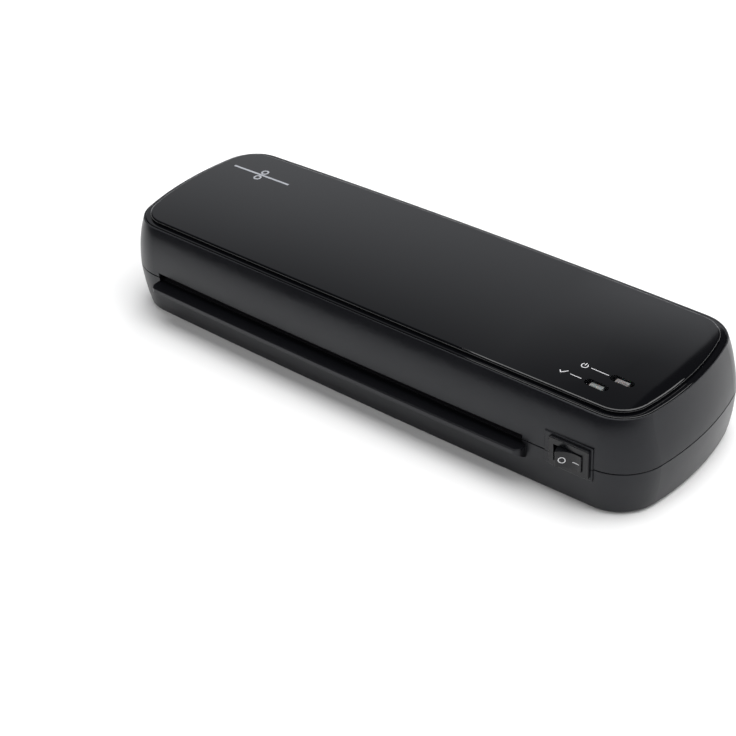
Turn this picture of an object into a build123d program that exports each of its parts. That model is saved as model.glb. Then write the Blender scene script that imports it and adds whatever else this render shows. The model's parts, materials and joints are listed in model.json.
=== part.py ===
from build123d import *
import os
from math import cos, radians, sin, sqrt

os.makedirs("parts", exist_ok=True)

# A4 pouch laminator. Millimetres, +Z up, +X along the length, the pouch enters from -Y.
# The origin is under the middle of the case, on the surface that the feet stand on.

# ---------------------------------------------------------------- driving dimensions
case_half_length = 165.7        # at the parting line, in the middle of the end
case_half_depth = 52.6          # at the parting line, in the middle of the side
end_radius = 148.9              # the ends bulge
side_radius = 6538.0            # the sides bulge very slightly
corner_radius = 25.0
wall = 2.2
parting_z = 25.75
parting_gap = 0.3
case_bottom_z = 1.5
floor_z = case_bottom_z + wall
crown_drop_at_end = 1.36        # the top falls this much from the middle to an end

rim_z = 53.7                    # top of the cover's rim band, in the middle
rim_end_inset = 6.3
rim_side_inset = 5.7
panel_z = 55.64                 # top of the raised panel, in the middle
panel_end_inset = 9.2
panel_side_inset = 8.3
deck_thickness = 2.2
deck_z = rim_z - 2.0            # the cover's rim lies on the deck
seam = 0.3                      # gap round the cover
shoulder = 0.8                  # from the rim band out to the wall, the seam included
shoulder_z = rim_z - 0.25       # top of the upper case round the cover
edge_round = 0.35               # moulded edges

slot_left = -134.0
slot_right = 102.0
slot_low_z = 22.8
slot_high_z = 28.4
lip_reach = 58.4                # tip of the lip, in the middle
lip_thickness = 2.6
lip_margin = 1.6                # the lip is a little longer than the slot

switch_x = 127.9
switch_z = 28.4
bezel_length = 21.3
bezel_height = 15.8
bezel_thickness = 1.6
pad_y = -52.0                   # flat pad that the switch's bezel lies on
pad_left = 114.2
pad_right = 139.7
pad_low_z = 19.4
pad_high_z = 37.4
rocker_tilt = 15.4              # either side of level

window_length = 12.0
window_width = 4.3
window_skin = 0.75               # the window over its LED, which stands in a pocket under it
power_window_at = (135.0, -22.0)
ready_window_at = (127.3, -31.0)

nip_z = (slot_low_z + slot_high_z) / 2
roller_pitch = 18.0             # between the two rollers' axes
lower_axis_z = nip_z - roller_pitch / 2
upper_axis_z = nip_z + roller_pitch / 2
sleeve_radius = 8.85
shaft_radius = 4.0
gear_seat_radius = 3.0
running_clearance = 0.05
roller_left = slot_left + 2
roller_right = slot_right - 2

frame_thickness = 1.5
frame_right_x = 104.5           # inner face of the right frame
frame_left_x = -136.5           # inner face of the left frame
frame_half_depth = 41.0
frame_low_z = 8.0
frame_high_z = 48.2
tab_y = 36.0
tab_length = 10.0

bush_radius = 6.0
bush_flange_radius = 7.0
spring_top_z = 46.2
spring_radius = 2.0
spring_wire = 0.7

gear_module = 1.0
roller_teeth = 18
motor_teeth = 20
gear_x = 109.5
gear_width = 6.0
motor_shaft_y = gear_module * (roller_teeth + motor_teeth) / 2
motor_centre = (24.0, 24.8)     # y and z of the motor's can, off its shaft
motor_radius = 19.0
motor_length = 18.0
bracket_x = 117.2
bracket_thickness = 1.2
ear_angle = 35.0
ear_reach = 22.5

shoe_inner_radius = 10.0
shoe_outer_radius = 11.2
heater_radius = 12.0
guide_tip_y = 7.6
guide_outer_y = 48.4
guide_thickness = 1.2
guide_peg = (38.0, 6.1)         # distance from the middle, and below or above the nip

foot_radius = 7.0
foot_at = (132.0, 34.0)
pillar_at = (153.0, 32.0)
gland_at = (142.0, 13.0)        # x and z
gland_face_y = 51.4
gland_inner_y = 45.6
cord_bore_radius = 3.5

screw_radius = 1.45             # M3, its thread left out
screw_hole_radius = 1.5
screw_head_radius = 2.8
screw_head_height = 2.0


# ---------------------------------------------------------------- the case's outline
def case_section(z, end_inset, side_inset):
    """A level section of the case, moved in from the outline at the parting line."""
    half_length = case_half_length - end_inset
    half_depth = case_half_depth - side_inset
    end_r = end_radius - end_inset
    side_r = side_radius - side_inset
    corner_x = half_length
    corner_y = half_depth
    for _ in range(6):
        corner_x = half_length - end_r + sqrt(end_r**2 - corner_y**2)
        corner_y = half_depth - side_r + sqrt(side_r**2 - corner_x**2)
    with BuildSketch(Plane.XY.offset(z)) as section:
        with BuildLine():
            ThreePointArc((-corner_x, -corner_y), (0, -half_depth), (corner_x, -corner_y))
            ThreePointArc((corner_x, -corner_y), (half_length, 0), (corner_x, corner_y))
            ThreePointArc((corner_x, corner_y), (0, half_depth), (-corner_x, corner_y))
            ThreePointArc((-corner_x, corner_y), (-half_length, 0), (-corner_x, -corner_y))
        make_face()
        fillet(section.vertices(), corner_radius - (end_inset + side_inset) / 2)
    return section.sketch


def case_loft(levels, inwards=0.0):
    """The closed form through the levels, each a height, an end inset and a side inset."""
    with BuildPart() as form:
        loft(sections=[case_section(z, end + inwards, side + inwards) for z, end, side in levels])
    return form.part


def case_prism(end_inset, side_inset, low_z, high_z):
    """An upright form with the case's outline."""
    with BuildPart() as form:
        with BuildSketch() as outline:
            add(case_section(0, end_inset, side_inset))
        extrude(amount=high_z - low_z)
    return form.part.moved(Location((0, 0, low_z)))


def crown_drop(x):
    """How far the crowned top has fallen at x."""
    return crown_drop_at_end * (x / case_half_length) ** 2


def under_crown(top_z):
    """Everything under the crowned surface that is highest at top_z."""
    reach = case_half_length + 10
    end_z = top_z - crown_drop(reach)
    with BuildPart() as form:
        with BuildSketch(Plane.XZ) as side:
            with BuildLine():
                Polyline((-reach, end_z), (-reach, -10), (reach, -10), (reach, end_z))
                ThreePointArc((reach, end_z), (0, top_z), (-reach, end_z))
            make_face()
        extrude(amount=80, both=True)
    return form.part


def upper_inset(z):
    """How far the upper case's wall leans in at a height: at the ends, and at the sides."""
    rise = z - parting_z
    shoulder_rise = shoulder_z - parting_z
    end = (rim_end_inset - shoulder) * (rise / (shoulder_rise - crown_drop_at_end)) ** 1.35
    side = (rim_side_inset - shoulder) * (rise / shoulder_rise) ** 3.6
    return z, end, side


def lower_inset(z):
    """How far the lower case's wall tucks in at a height."""
    fall = (parting_z - z) / (parting_z - case_bottom_z)
    return z, 3.0 * fall**1.95, 2.4 * fall**1.95


upper_bottom_z = parting_z + parting_gap / 2
lower_top_z = parting_z - parting_gap / 2
upper_levels = [upper_inset(z) for z in (upper_bottom_z, 33.0, 40.0, 46.0, 50.3, 53.6)]
lower_levels = [lower_inset(z) for z in (case_bottom_z, 5.0, 10.0, 17.0, lower_top_z)]
lower_cavity_levels = [lower_inset(z) for z in (floor_z, 10.0, 17.0, lower_top_z + 0.01)]

# ---------------------------------------------------------------- forms that the case is cut with
with BuildPart() as upper_cavity:
    add(case_loft([upper_inset(z) for z in (upper_bottom_z, 33.0, 40.0, 46.0, 51.0)], wall))
    add(under_crown(deck_z - deck_thickness), mode=Mode.INTERSECT)

with BuildPart() as cover_recess:
    add(case_prism(rim_end_inset - seam, rim_side_inset - seam, 45, 60))
    add(under_crown(deck_z), mode=Mode.SUBTRACT)

with BuildPart() as slot_cut:
    with BuildSketch(Plane.XY.offset(slot_low_z)) as mouth:
        with Locations(((slot_left + slot_right) / 2, 0)):
            Rectangle(slot_right - slot_left, 2 * lip_reach + 10)
            Rectangle(slot_right - slot_left, 80, mode=Mode.SUBTRACT)
    extrude(amount=slot_high_z - slot_low_z)

with BuildPart() as switch_cut:
    with BuildSketch(Plane.XZ.offset(40)) as cutout:
        with Locations((switch_x, switch_z)):
            Rectangle(19.2, 13.1)
    extrude(amount=20)

with BuildPart() as switch_pad:
    with BuildSketch(Plane.XZ.offset(47.4)) as pad_face:
        with Locations(((pad_left + pad_right) / 2, (pad_low_z + pad_high_z) / 2)):
            Rectangle(pad_right - pad_left, pad_high_z - pad_low_z)
    extrude(amount=-pad_y - 47.4)
    fillet(switch_pad.faces().sort_by(Axis.Y)[0].edges(), 0.5)

# ---------------------------------------------------------------- upper case
with BuildPart() as upper_pad:
    add(switch_pad.part)
    split(bisect_by=Plane.XY.offset(upper_bottom_z), keep=Keep.TOP)

led_points = [power_window_at, ready_window_at]
board_screw_points = [(111.5, -24.0), (144.0, -24.0)]
board_top_z = 45.6
board_thickness = 1.6
boss_top_z = deck_z - deck_thickness / 2 - crown_drop_at_end
pillar_points = [(x, y) for x in (-pillar_at[0], pillar_at[0]) for y in (-pillar_at[1], pillar_at[1])]

with BuildPart() as upper_case:
    add(case_loft(upper_levels))
    fillet(upper_case.faces().sort_by(Axis.Z)[0].edges(), edge_round)
    add(under_crown(shoulder_z), mode=Mode.INTERSECT)
    add(upper_cavity.part, mode=Mode.SUBTRACT)
    add(cover_recess.part, mode=Mode.SUBTRACT)
    add(upper_pad.part)
    add(slot_cut.part, mode=Mode.SUBTRACT)
    add(switch_cut.part, mode=Mode.SUBTRACT)
    # bosses for the case screws
    with BuildSketch(Plane.XY.offset(upper_bottom_z)) as screw_bosses:
        with Locations(*pillar_points):
            Circle(4.0)
    extrude(amount=boss_top_z - upper_bottom_z)
    with BuildSketch(Plane.XY.offset(upper_bottom_z)) as screw_holes:
        with Locations(*pillar_points):
            Circle(screw_hole_radius)
    extrude(amount=14, mode=Mode.SUBTRACT)
    # posts for the indicator board
    with BuildSketch(Plane.XY.offset(board_top_z)) as board_posts:
        with Locations(*board_screw_points):
            Circle(2.6)
    extrude(amount=boss_top_z - board_top_z)
    with BuildSketch(Plane.XY.offset(board_top_z)) as board_holes:
        with Locations(*board_screw_points):
            Circle(1.05)
    extrude(amount=3.2, mode=Mode.SUBTRACT)
    # light wells under the two windows
    with BuildSketch(Plane.XY.offset(board_top_z)) as wells:
        with Locations(*led_points):
            SlotOverall(window_length + 2.4, window_width + 2.8)
    extrude(amount=10, mode=Mode.SUBTRACT)
    # holes for the cover's pegs
    with BuildSketch(Plane.XY.offset(board_top_z)) as peg_holes:
        with GridLocations(2 * 95.0, 2 * 33.0, 2, 2):
            Circle(1.7)
    extrude(amount=10, mode=Mode.SUBTRACT)
upper_case.part.label = "upper_case"
export_step(upper_case.part, "parts/upper_case.step")

# ---------------------------------------------------------------- top cover
with BuildPart() as cover_rim:
    add(case_prism(rim_end_inset, rim_side_inset, 40, 60))
    add(under_crown(rim_z), mode=Mode.INTERSECT)
    add(under_crown(deck_z + 0.05), mode=Mode.SUBTRACT)
    rim_top = cover_rim.faces().sort_by(Axis.Z)[-1]
    fillet(rim_top.edges(), 0.35)

with BuildPart() as cover_panel:
    add(case_prism(panel_end_inset, panel_side_inset, 40, 60))
    add(under_crown(panel_z), mode=Mode.INTERSECT)
    add(under_crown(deck_z + 0.5), mode=Mode.SUBTRACT)
    panel_top = cover_panel.faces().sort_by(Axis.Z)[-1]
    fillet(panel_top.edges(), 0.9)

with BuildPart() as cover_hollow:
    add(case_prism(panel_end_inset + 2.0, panel_side_inset + 2.0, 40, 60))
    add(under_crown(panel_z - 2.0), mode=Mode.INTERSECT)

with BuildPart() as top_cover:
    add(cover_rim.part)
    add(cover_panel.part)
    add(cover_hollow.part, mode=Mode.SUBTRACT)
    with BuildSketch(Plane.XY.offset(50)) as window_holes:
        with Locations(*led_points):
            SlotOverall(window_length + 0.1, window_width + 0.1)
    extrude(amount=10, mode=Mode.SUBTRACT)
    with BuildSketch(Plane.XY.offset(deck_z - 4.0)) as pegs:
        with GridLocations(2 * 95.0, 2 * 33.0, 2, 2):
            Circle(1.5)
    extrude(amount=6.0)
top_cover.part.label = "top_cover"
export_step(top_cover.part, "parts/top_cover.step")


# ---------------------------------------------------------------- indicator windows and LEDs
def indicator_window(at):
    """A clear lens with a thin flange under the cover and a pocket for its LED."""
    top_z = panel_z - crown_drop(at[0]) + 0.05
    under_z = panel_z - 2.0 - crown_drop(at[0])
    with BuildPart() as window:
        with BuildSketch(Plane.XY.offset(under_z - 0.1)) as lens:
            with Locations(at):
                SlotOverall(window_length, window_width)
        extrude(amount=top_z - under_z + 0.1)
        fillet(window.faces().sort_by(Axis.Z)[-1].edges(), 0.3)
        with BuildSketch(Plane.XY.offset(under_z - 0.85)) as flange:
            with Locations(at):
                SlotOverall(window_length + 1.6, window_width + 1.6)
        extrude(amount=0.75)
        with BuildSketch(Plane.XY.offset(top_z - window_skin)) as pocket:
            with Locations(at):
                Rectangle(7.2, 3.4)
        extrude(amount=-5, mode=Mode.SUBTRACT)
    return window.part


def indicator_led(at):
    """A rectangular LED, standing on the board with its flange and two leads."""
    top_z = panel_z - window_skin - 0.1 - crown_drop(at[0])
    with BuildPart() as led:
        with BuildSketch(Plane.XY.offset(board_top_z)) as base:
            with Locations(at):
                Rectangle(8.0, 3.6)
        extrude(amount=1.0)
        with BuildSketch(Plane.XY.offset(board_top_z)) as body:
            with Locations(at):
                Rectangle(6.6, 3.0)
        extrude(amount=top_z - board_top_z)
        fillet(led.edges().filter_by(Axis.Z), 0.25)
        with BuildSketch(Plane.XY.offset(board_top_z - board_thickness - 1.2)) as leads:
            with Locations(at):
                with GridLocations(2.54, 0, 2, 1):
                    Rectangle(0.5, 0.5)
        extrude(amount=board_thickness + 1.2)
    return led.part


for name, at in (("power", power_window_at), ("ready", ready_window_at)):
    window = indicator_window(at)
    window.label = name + "_window"
    export_step(window, "parts/" + window.label + ".step")
    led = indicator_led(at)
    led.label = name + "_led"
    export_step(led, "parts/" + led.label + ".step")

with BuildPart() as led_board:
    with BuildSketch(Plane.XY.offset(board_top_z - board_thickness)) as board_outline:
        with Locations((127.8, -26.5)):
            RectangleRounded(38.0, 17.0, 1.5)
        with Locations(*board_screw_points):
            Circle(1.15, mode=Mode.SUBTRACT)
        for at in led_points:
            with Locations(at):
                with GridLocations(2.54, 0, 2, 1):
                    Rectangle(0.7, 0.7, mode=Mode.SUBTRACT)
    extrude(amount=board_thickness)
led_board.part.label = "led_board"
export_step(led_board.part, "parts/led_board.step")

with BuildPart() as led_board_screws:
    with BuildSketch(Plane.XY.offset(board_top_z - board_thickness - 1.4)) as heads:
        with Locations(*board_screw_points):
            Circle(2.0)
    extrude(amount=1.4)
    with BuildSketch(Plane.XY.offset(board_top_z - board_thickness)) as shanks:
        with Locations(*board_screw_points):
            Circle(1.0)
    extrude(amount=board_thickness + 3.0)
led_board_screws.part.label = "led_board_screws"
export_step(led_board_screws.part, "parts/led_board_screws.step")

# ---------------------------------------------------------------- lower case
foot_points = [(x, y) for x in (-foot_at[0], foot_at[0]) for y in (-foot_at[1], foot_at[1])]
frame_boss_x = (frame_right_x + frame_thickness + 5.5, frame_left_x - frame_thickness - 5.5)
frame_screw_points = [(x, y) for x in frame_boss_x for y in (-tab_y, tab_y)]

with BuildPart() as lower_pad:
    add(switch_pad.part)
    split(bisect_by=Plane.XY.offset(lower_top_z), keep=Keep.BOTTOM)

with BuildPart() as tongue:
    add(case_prism(1.2, 1.2, 21.0, lower_top_z))
    add(case_prism(2.5, 2.5, 21.0, lower_top_z + 1.7))
    add(case_prism(3.7, 3.7, 20.0, lower_top_z + 2.0), mode=Mode.SUBTRACT)
    for side, right_end in ((-1, pad_right), (1, slot_right)):
        with Locations(((slot_left + right_end) / 2, side * case_half_depth, lower_top_z)):
            Box(right_end - slot_left + 7, 30, 14, mode=Mode.SUBTRACT)

lip_left = slot_left - lip_margin
lip_right = slot_right + lip_margin
lip_tip_y = lip_reach - 1.0
lip_root_y = 49.2
with BuildPart() as front_lip:
    with BuildSketch(Plane.XY.offset(slot_low_z)) as lip_outline:
        with BuildLine():
            Polyline((lip_left, -lip_tip_y), (lip_left, -lip_root_y), (lip_right, -lip_root_y),
                     (lip_right, -lip_tip_y))
            ThreePointArc((lip_right, -lip_tip_y), (0, -lip_reach), (lip_left, -lip_tip_y))
        make_face()
        fillet(lip_outline.vertices().group_by(Axis.Y)[0], 3.5)
    extrude(amount=-9.0)
    with BuildSketch(Plane.YZ.offset(lip_left - 5)) as lip_underside:
        with BuildLine():
            Polyline(
                (-lip_reach - 2, slot_low_z - lip_thickness),
                (-lip_reach + 1, slot_low_z - lip_thickness),
                (-52.0, slot_low_z - 6.5),
                (-lip_root_y + 1, slot_low_z - 6.5),
                (-lip_root_y + 1, slot_low_z - 12.0),
                (-lip_reach - 2, slot_low_z - 12.0),
                close=True,
            )
        make_face()
    extrude(amount=lip_right - lip_left + 10, mode=Mode.SUBTRACT)
    tip_edges = front_lip.edges().group_by(Axis.Z)[-1].sort_by(Axis.Y)
    fillet(tip_edges[0:3], 0.6)

with BuildPart() as lower_case:
    add(case_loft(lower_levels))
    fillet(lower_case.faces().sort_by(Axis.Z)[0].edges(), 1.2)
    fillet(lower_case.faces().sort_by(Axis.Z)[-1].edges(), edge_round)
    add(case_loft(lower_cavity_levels, wall), mode=Mode.SUBTRACT)
    add(tongue.part)
    add(lower_pad.part)
    add(front_lip.part)
    add(front_lip.part.mirror(Plane.XZ))
    add(slot_cut.part, mode=Mode.SUBTRACT)
    add(switch_cut.part, mode=Mode.SUBTRACT)
    # pillars that the case screws pass up through
    with BuildSketch(Plane.XY.offset(case_bottom_z + 1)) as pillars:
        with Locations(*pillar_points):
            Circle(4.6)
    extrude(amount=lower_top_z - case_bottom_z - 1)
    with Locations(*[(x, y, case_bottom_z) for x, y in pillar_points]):
        with Locations(Rotation(180, 0, 0)):
            CounterBoreHole(1.7, 3.3, 13.5, 30.0)
    # pockets for the feet
    with BuildSketch(Plane.XY.offset(case_bottom_z + 1)) as foot_seats:
        with Locations(*foot_points):
            Circle(foot_radius + 1.8)
    extrude(amount=1.9)
    with BuildSketch(Plane.XY.offset(case_bottom_z - 0.5)) as foot_pockets:
        with Locations(*foot_points):
            Circle(foot_radius + 0.1)
    extrude(amount=1.6, mode=Mode.SUBTRACT)
    # bosses under the side frames
    with BuildSketch(Plane.XY.offset(case_bottom_z + 1)) as frame_bosses:
        with Locations(*frame_screw_points):
            Circle(3.5)
    extrude(amount=frame_low_z - case_bottom_z - 1)
    with BuildSketch(Plane.XY.offset(frame_low_z)) as frame_boss_holes:
        with Locations(*frame_screw_points):
            Circle(screw_hole_radius)
    extrude(amount=-5.4, mode=Mode.SUBTRACT)
    # flat pad and hole for the cord's gland
    with BuildSketch(Plane.XZ.offset(-gland_inner_y)) as gland_pad:
        with Locations(gland_at):
            Circle(7.5)
    extrude(amount=gland_inner_y - gland_face_y)
    with BuildSketch(Plane.XZ.offset(-40)) as gland_hole:
        with Locations(gland_at):
            Circle(5.1)
    extrude(amount=-15, mode=Mode.SUBTRACT)
    # air slots in the floor, under the heaters
    with BuildSketch(Plane.XY.offset(case_bottom_z - 1)) as air_slots:
        with Locations((-16, 0)):
            with GridLocations(12.0, 44.0, 14, 2):
                SlotOverall(20.0, 3.0, rotation=90)
    extrude(amount=wall + 2, mode=Mode.SUBTRACT)
lower_case.part.label = "lower_case"
export_step(lower_case.part, "parts/lower_case.step")

with BuildPart() as feet:
    with BuildSketch() as foot_discs:
        with Locations(*foot_points):
            Circle(foot_radius)
    extrude(amount=case_bottom_z + 1.1)
    fillet(feet.faces().group_by(Axis.Z)[0].edges(), 0.5)
feet.part.label = "feet"
export_step(feet.part, "parts/feet.step")

with BuildPart() as case_screws:
    with BuildSketch(Plane.XY.offset(case_bottom_z + 13.5 - screw_head_height)) as case_heads:
        with Locations(*pillar_points):
            Circle(screw_head_radius)
    extrude(amount=screw_head_height)
    with BuildSketch(Plane.XY.offset(case_bottom_z + 13.5)) as case_shanks:
        with Locations(*pillar_points):
            Circle(screw_radius)
    extrude(amount=23.0)
    with BuildSketch(Plane.XY.offset(case_bottom_z + 13.5 - screw_head_height)) as case_drives:
        with Locations(*pillar_points):
            Rectangle(3.4, 0.8)
            Rectangle(0.8, 3.4)
    extrude(amount=1.1, mode=Mode.SUBTRACT)
case_screws.part.label = "case_screws"
export_step(case_screws.part, "parts/case_screws.step")

# ---------------------------------------------------------------- cord's gland and terminal block
with BuildPart() as cord_gland:
    with BuildSketch(Plane.XZ.offset(-gland_face_y)) as gland_flange:
        with Locations(gland_at):
            Circle(6.5)
    extrude(amount=-2.0)
    fillet(cord_gland.faces().sort_by(Axis.Y)[-1].edges(), 0.6)
    with BuildSketch(Plane.XZ.offset(-gland_face_y)) as gland_neck:
        with Locations(gland_at):
            Circle(5.0)
    extrude(amount=gland_face_y - gland_inner_y + 0.1)
    with BuildSketch(Plane.XZ.offset(-gland_inner_y + 0.1)) as gland_nut:
        with Locations(gland_at):
            RegularPolygon(6.2, 6)
    extrude(amount=3.0)
    with BuildSketch(Plane.XZ.offset(-40)) as gland_bore:
        with Locations(gland_at):
            Circle(cord_bore_radius)
    extrude(amount=-20, mode=Mode.SUBTRACT)
cord_gland.part.label = "cord_gland"
export_step(cord_gland.part, "parts/cord_gland.step")

with BuildPart() as terminal_block:
    with BuildSketch(Plane.XY.offset(floor_z)) as block_base:
        with Locations((150.0, 0.0)):
            Rectangle(11.0, 26.0)
    extrude(amount=8.0)
    chamfer(terminal_block.faces().sort_by(Axis.Z)[-1].edges().filter_by(Axis.Y), 1.5)
    with BuildSketch(Plane.XY.offset(floor_z + 8.0)) as block_wells:
        with Locations((150.0, 0.0)):
            with GridLocations(0, 8.0, 1, 3):
                Circle(2.0)
    extrude(amount=-3.0, mode=Mode.SUBTRACT)
    with BuildSketch(Plane.YZ.offset(140)) as block_entries:
        with Locations((0, floor_z + 3.2)):
            with GridLocations(8.0, 0, 3, 1):
                Circle(1.4)
    extrude(amount=20, mode=Mode.SUBTRACT)
terminal_block.part.label = "terminal_block"
export_step(terminal_block.part, "parts/terminal_block.step")

# ---------------------------------------------------------------- rocker switch
hinge_y = pad_y - bezel_thickness + 3.45
rocker_reach = 6.2               # half the rocker's length
rocker_face = 6.3               # its ends stand this far out from the hinge
rocker_dip = 4.7                # and its middle this far
rocker_height = 8.7
rocker_opening = (15.6, 9.0)
with BuildPart() as switch_housing:
    with BuildSketch(Plane.XZ.offset(-pad_y)) as bezel:
        with Locations((switch_x, switch_z)):
            RectangleRounded(bezel_length, bezel_height, 1.0)
    extrude(amount=bezel_thickness)
    fillet(switch_housing.faces().sort_by(Axis.Y)[0].edges(), 0.5)
    with BuildSketch(Plane.XZ.offset(-pad_y)) as housing_body:
        with Locations((switch_x, switch_z)):
            Rectangle(19.0, 12.9)
    extrude(amount=-14.0)
    with BuildSketch(Plane.XZ.offset(-pad_y + 5)) as rocker_well:
        with Locations((switch_x, switch_z)):
            Rectangle(*rocker_opening)
    extrude(amount=-14.0, mode=Mode.SUBTRACT)
    with BuildSketch(Plane.XY.offset(switch_z - 5.6)) as hinge_holes:
        with Locations((switch_x, hinge_y)):
            Circle(1.0 + running_clearance)
    extrude(amount=11.2, mode=Mode.SUBTRACT)
switch_housing.part.label = "switch_housing"
export_step(switch_housing.part, "parts/switch_housing.step")

with BuildPart() as level_rocker:
    with BuildSketch(Plane.XY.offset(-rocker_height / 2)) as rocker_profile:
        with BuildLine():
            ThreePointArc((-rocker_reach, -rocker_face), (0, -rocker_dip), (rocker_reach, -rocker_face))
            Line((rocker_reach, -rocker_face), (rocker_reach, 0.5))
            ThreePointArc((rocker_reach, 0.5), (0, 5.6), (-rocker_reach, 0.5))
            Line((-rocker_reach, 0.5), (-rocker_reach, -rocker_face))
        make_face()
        fillet(rocker_profile.vertices().group_by(Axis.Y)[0], 0.4)
    extrude(amount=rocker_height)
    with BuildSketch(Plane.XY.offset(-rocker_height / 2 - 1.1)) as hinge_pins:
        Circle(1.0)
    extrude(amount=rocker_height + 2.2)

with BuildPart() as switch_rocker:
    add(level_rocker.part.moved(Location((switch_x, hinge_y, switch_z), (0, 0, rocker_tilt))))
switch_rocker.part.label = "switch_rocker"
export_step(switch_rocker.part, "parts/switch_rocker.step")

with BuildPart() as switch_terminals:
    with BuildSketch(Plane.XZ.offset(-pad_y - 14.0)) as spades:
        with Locations((switch_x, switch_z)):
            with GridLocations(11.0, 0, 2, 1):
                Rectangle(0.8, 4.8)
    extrude(amount=-8.0)
    with BuildSketch(Plane.YZ.offset(110)) as spade_holes:
        with Locations((pad_y + 14.0 + 5.0, switch_z)):
            Circle(0.9)
    extrude(amount=40, mode=Mode.SUBTRACT)
switch_terminals.part.label = "switch_terminals"
export_step(switch_terminals.part, "parts/switch_terminals.step")


# ---------------------------------------------------------------- side frames
standoff_points = [(36.0, 16.0), (36.0, 40.0), (14.0, 43.0)]
peg_radius = 1.5
lead_hole = (-24.0, 33.0)
shoe_rib = (13.0, 12.6)          # distance from the middle, and the lower rib's height


def side_frame(inner_x, outwards):
    """A steel plate between the floor and the deck, with two feet turned outwards."""
    with BuildPart() as frame:
        with BuildSketch(Plane.YZ.offset(inner_x)) as plate:
            with Locations((0, (frame_low_z + frame_high_z) / 2)):
                Rectangle(2 * frame_half_depth, frame_high_z - frame_low_z)
            chamfer(plate.vertices().group_by(Axis.Y)[-1], 3.0)
            with Locations((0, lower_axis_z)):
                Circle(bush_radius + 0.05, mode=Mode.SUBTRACT)
            slot_low = upper_axis_z - bush_radius - 0.6
            with Locations((0, (slot_low + spring_top_z) / 2)):
                Rectangle(2 * bush_radius + 0.1, spring_top_z - slot_low, mode=Mode.SUBTRACT)
            for side in (-1, 1):
                with Locations(
                    (side * guide_peg[0], nip_z - guide_peg[1]),
                    (side * guide_peg[0], nip_z + guide_peg[1]),
                    (side * shoe_rib[0], shoe_rib[1]),
                    (side * shoe_rib[0], 2 * nip_z - shoe_rib[1]),
                ):
                    Circle(peg_radius + 0.1, mode=Mode.SUBTRACT)
                with Locations((side * 15.0, frame_high_z - 1.0)):
                    Rectangle(8.2, 0.8, mode=Mode.SUBTRACT)
            if outwards > 0:
                with Locations(*standoff_points):
                    Circle(1.55, mode=Mode.SUBTRACT)
                with Locations(lead_hole):
                    Circle(1.8, mode=Mode.SUBTRACT)
        extrude(amount=outwards * frame_thickness)
        middle_x = inner_x + outwards * tab_length / 2
        with BuildSketch(Plane.XY.offset(frame_low_z)) as frame_feet:
            with Locations((middle_x + outwards * 0.5, -tab_y), (middle_x + outwards * 0.5, tab_y)):
                Rectangle(tab_length + 1.0, 10.0)
            with Locations(*[(inner_x + outwards * 7.0, y) for y in (-tab_y, tab_y)]):
                Circle(1.7, mode=Mode.SUBTRACT)
        extrude(amount=frame_thickness)
    return frame.part


right_side_frame = side_frame(frame_right_x, 1)
right_side_frame.label = "right_side_frame"
export_step(right_side_frame, "parts/right_side_frame.step")
left_side_frame = side_frame(frame_left_x, -1)
left_side_frame.label = "left_side_frame"
export_step(left_side_frame, "parts/left_side_frame.step")

with BuildPart() as frame_screws:
    with BuildSketch(Plane.XY.offset(frame_low_z + frame_thickness)) as frame_heads:
        with Locations(*frame_screw_points):
            Circle(screw_head_radius)
    extrude(amount=screw_head_height)
    with BuildSketch(Plane.XY.offset(frame_low_z + frame_thickness)) as frame_shanks:
        with Locations(*frame_screw_points):
            Circle(screw_radius)
    extrude(amount=-(frame_thickness + 4.6))
frame_screws.part.label = "frame_screws"
export_step(frame_screws.part, "parts/frame_screws.step")

# ---------------------------------------------------------------- rollers
bush_inner_right = frame_right_x - 0.1
bush_inner_left = frame_left_x + 0.1
bush_flange = 1.4
bush_barrel = 3.6
shaft_left = bush_inner_left - bush_barrel - 3.0
seat_start = gear_x - 1.0
shaft_right = gear_x + gear_width + 1.4
clip_thickness = 0.6
left_clip_x = shaft_left + 1.0
right_clip_x = gear_x + gear_width + 0.1


def x_cylinder(radius, x_from, x_to, y, z, mode=Mode.ADD):
    """A cylinder along X, added to the part in hand."""
    with Locations(((x_from + x_to) / 2, y, z)):
        Cylinder(radius, abs(x_to - x_from), rotation=(0, 90, 0), mode=mode)


def roller_shaft(axis_z):
    """A steel shaft with a seat for its gear and grooves for its clips."""
    with BuildPart() as shaft:
        x_cylinder(shaft_radius, shaft_left, seat_start, 0, axis_z)
        x_cylinder(gear_seat_radius, seat_start, shaft_right, 0, axis_z)
        chamfer(shaft.edges().filter_by(GeomType.CIRCLE).sort_by(Axis.X)[0], 0.4)
        chamfer(shaft.edges().filter_by(GeomType.CIRCLE).sort_by(Axis.X)[-1], 0.4)
        for clip_x, radius in ((left_clip_x, shaft_radius), (right_clip_x, gear_seat_radius)):
            x_cylinder(radius + 1, clip_x, clip_x + clip_thickness, 0, axis_z, Mode.SUBTRACT)
            x_cylinder(radius - 0.5, clip_x, clip_x + clip_thickness, 0, axis_z)
    return shaft.part


def roller_sleeve(axis_z):
    """The silicone sleeve on a shaft."""
    with BuildPart() as sleeve:
        x_cylinder(sleeve_radius, roller_left, roller_right, 0, axis_z)
        chamfer(sleeve.edges().filter_by(GeomType.CIRCLE), 0.4)
        x_cylinder(shaft_radius + 0.01, roller_left, roller_right, 0, axis_z, Mode.SUBTRACT)
    return sleeve.part


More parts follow.
